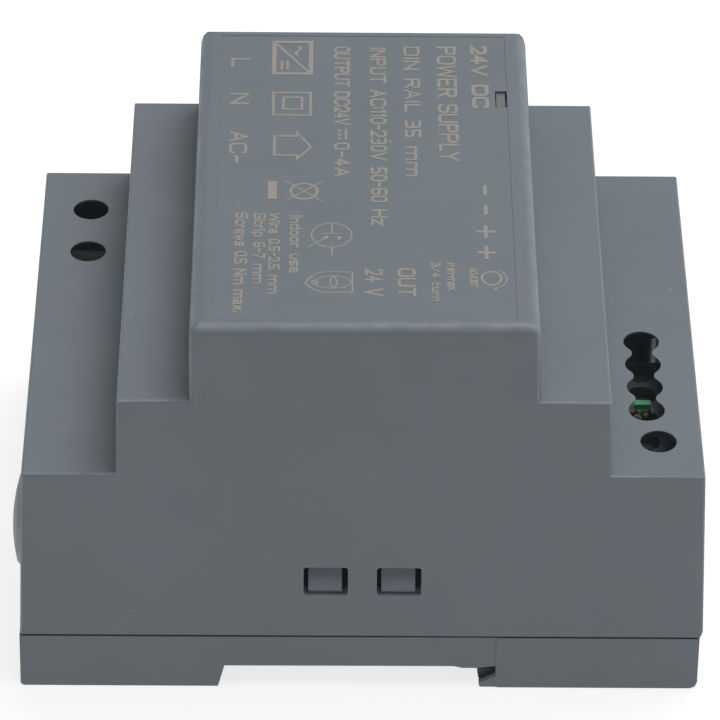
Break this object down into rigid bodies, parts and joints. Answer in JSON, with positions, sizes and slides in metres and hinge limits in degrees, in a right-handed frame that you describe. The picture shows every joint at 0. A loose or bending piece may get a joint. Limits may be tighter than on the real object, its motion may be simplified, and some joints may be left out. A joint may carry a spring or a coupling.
{
  "type": "din rail power supply",
  "caption": "Stepped, closed modular power supply that snaps onto a 35 mm top-hat rail, with screw terminals at both ends and a sprung latch.",
  "frame": {"origin": "centre of the rail seat, the ceiling of the rail channel, midway along the rail", "axes": "+Z from the rail to the front panel; X across the rail, from the mains terminals (-X) to the output terminals (+X); Y along the rail"},
  "size_m": [0.0909, 0.07, 0.0585],
  "materials": {
    "housing": "fine matte moulded polycarbonate, dark blue-grey",
    "clear_plastic": "clear polycarbonate, slightly frosted",
    "black_plastic": "matte moulded plastic",
    "green_plastic": "satin moulded plastic",
    "blue_plastic": "glossy coating",
    "yellow_plastic": "glossy tape and moulded box",
    "white_plastic": "satin moulded plastic",
    "dark_coating": "matte dipped coating",
    "lamp_resin": "tinted clear resin",
    "circuit_board": "solder mask over glass-fibre laminate",
    "insulation_film": "translucent polyester film",
    "capacitor_sleeve": "shrunk sleeve",
    "ceramic": "glazed ceramic with plated caps",
    "ferrite": "sintered ferrite, dull",
    "enamelled_copper": "enamelled wire, glossy",
    "tinned_copper": "tin-plated strip",
    "zinc_steel": "zinc-plated",
    "dull_steel": "black-oxide steel, dull",
    "aluminium": "plain mill-finished sheet"
  },
  "bodies": {
    "housing": {"housing_cover": "housing", "housing_base": "housing", "front_panel": "housing", "light_pipe": "clear_plastic", "latch_spring": "zinc_steel", "insulation_sheet": "insulation_film", "main_board": "circuit_board", "control_board": "circuit_board", "status_led": "lamp_resin", "input_terminal_block": "black_plastic", "output_terminal_block": "green_plastic", "trimmer_body": "blue_plastic", "input_fuse": "ceramic", "inrush_thermistor": "dark_coating", "varistor": "blue_plastic", "x_capacitor": "yellow_plastic", "y_capacitor": "blue_plastic", "line_choke_core": "ferrite", "line_choke_winding": "enamelled_copper", "bridge_rectifier": "black_plastic", "bulk_capacitor": "capacitor_sleeve", "primary_transistor": "black_plastic", "primary_heatsink": "aluminium", "transformer_core": "ferrite", "transformer_winding": "yellow_plastic", "output_rectifier": "black_plastic", "secondary_heatsink": "aluminium", "output_capacitor_1": "capacitor_sleeve", "output_capacitor_2": "capacitor_sleeve", "output_capacitor_3": "capacitor_sleeve", "output_choke": "enamelled_copper", "optocoupler": "black_plastic", "control_chip": "black_plastic", "board_screw_1": "zinc_steel", "board_screw_2": "zinc_steel", "contact_line": "tinned_copper", "contact_neutral": "tinned_copper", "contact_minus_1": "tinned_copper", "contact_minus_2": "tinned_copper", "contact_plus_1": "tinned_copper", "contact_plus_2": "tinned_copper"},
    "latch": {"rail_latch": "black_plastic"},
    "trimmer": {"trimmer_shaft": "white_plastic"},
    "screw_line_body": {"screw_line": "dull_steel"},
    "cage_line_body": {"cage_line": "zinc_steel"},
    "screw_neutral_body": {"screw_neutral": "dull_steel"},
    "cage_neutral_body": {"cage_neutral": "zinc_steel"},
    "screw_minus_1_body": {"screw_minus_1": "dull_steel"},
    "cage_minus_1_body": {"cage_minus_1": "zinc_steel"},
    "screw_minus_2_body": {"screw_minus_2": "dull_steel"},
    "cage_minus_2_body": {"cage_minus_2": "zinc_steel"},
    "screw_plus_1_body": {"screw_plus_1": "dull_steel"},
    "cage_plus_1_body": {"cage_plus_1": "zinc_steel"},
    "screw_plus_2_body": {"screw_plus_2": "dull_steel"},
    "cage_plus_2_body": {"cage_plus_2": "zinc_steel"}
  },
  "joints": [
    {"name": "latch_slide", "type": "slide", "parent": "housing", "child": "latch", "axis": [1, 0, 0], "range_m": [0, 0.0032], "stiffness_N_per_m": 1500, "springref_m": -0.004, "deforming": ["latch_spring"]},
    {"name": "trimmer_turn", "type": "hinge", "parent": "housing", "child": "trimmer", "pos_m": [0.0384, -0.0273, 0.0158], "axis": [0, 0, 1], "range_deg": [-135, 135]},
    {"name": "screw_line_turn", "type": "hinge", "parent": "housing", "child": "screw_line_body", "pos_m": [-0.0375, 0.0258, 0.0232], "axis": [0, 0, -1], "range_deg": [0, 1800]},
    {"name": "cage_line_lift", "type": "slide", "parent": "housing", "child": "cage_line_body", "axis": [0, 0, 1], "range_m": [0, 0.0025]},
    {"name": "screw_neutral_turn", "type": "hinge", "parent": "housing", "child": "screw_neutral_body", "pos_m": [-0.0375, 0.0156, 0.0232], "axis": [0, 0, -1], "range_deg": [0, 1800]},
    {"name": "cage_neutral_lift", "type": "slide", "parent": "housing", "child": "cage_neutral_body", "axis": [0, 0, 1], "range_m": [0, 0.0025]},
    {"name": "screw_minus_1_turn", "type": "hinge", "parent": "housing", "child": "screw_minus_1_body", "pos_m": [0.0372, -0.005, 0.0232], "axis": [0, 0, -1], "range_deg": [0, 1800]},
    {"name": "cage_minus_1_lift", "type": "slide", "parent": "housing", "child": "cage_minus_1_body", "axis": [0, 0, 1], "range_m": [0, 0.0025]},
    {"name": "screw_minus_2_turn", "type": "hinge", "parent": "housing", "child": "screw_minus_2_body", "pos_m": [0.0372, -0.01013, 0.0232], "axis": [0, 0, -1], "range_deg": [0, 1800]},
    {"name": "cage_minus_2_lift", "type": "slide", "parent": "housing", "child": "cage_minus_2_body", "axis": [0, 0, 1], "range_m": [0, 0.0025]},
    {"name": "screw_plus_1_turn", "type": "hinge", "parent": "housing", "child": "screw_plus_1_body", "pos_m": [0.0372, -0.01526, 0.0232], "axis": [0, 0, -1], "range_deg": [0, 1800]},
    {"name": "cage_plus_1_lift", "type": "slide", "parent": "housing", "child": "cage_plus_1_body", "axis": [0, 0, 1], "range_m": [0, 0.0025]},
    {"name": "screw_plus_2_turn", "type": "hinge", "parent": "housing", "child": "screw_plus_2_body", "pos_m": [0.0372, -0.02039, 0.0232], "axis": [0, 0, -1], "range_deg": [0, 1800]},
    {"name": "cage_plus_2_lift", "type": "slide", "parent": "housing", "child": "cage_plus_2_body", "axis": [0, 0, 1], "range_m": [0, 0.0025]}
  ],
  "couplings": [
    {"joint": "screw_line_turn", "follows": "cage_line_lift", "rad_per_m": 12566},
    {"joint": "screw_neutral_turn", "follows": "cage_neutral_lift", "rad_per_m": 12566},
    {"joint": "screw_minus_1_turn", "follows": "cage_minus_1_lift", "rad_per_m": 12566},
    {"joint": "screw_minus_2_turn", "follows": "cage_minus_2_lift", "rad_per_m": 12566},
    {"joint": "screw_plus_1_turn", "follows": "cage_plus_1_lift", "rad_per_m": 12566},
    {"joint": "screw_plus_2_turn", "follows": "cage_plus_2_lift", "rad_per_m": 12566}
  ]
}
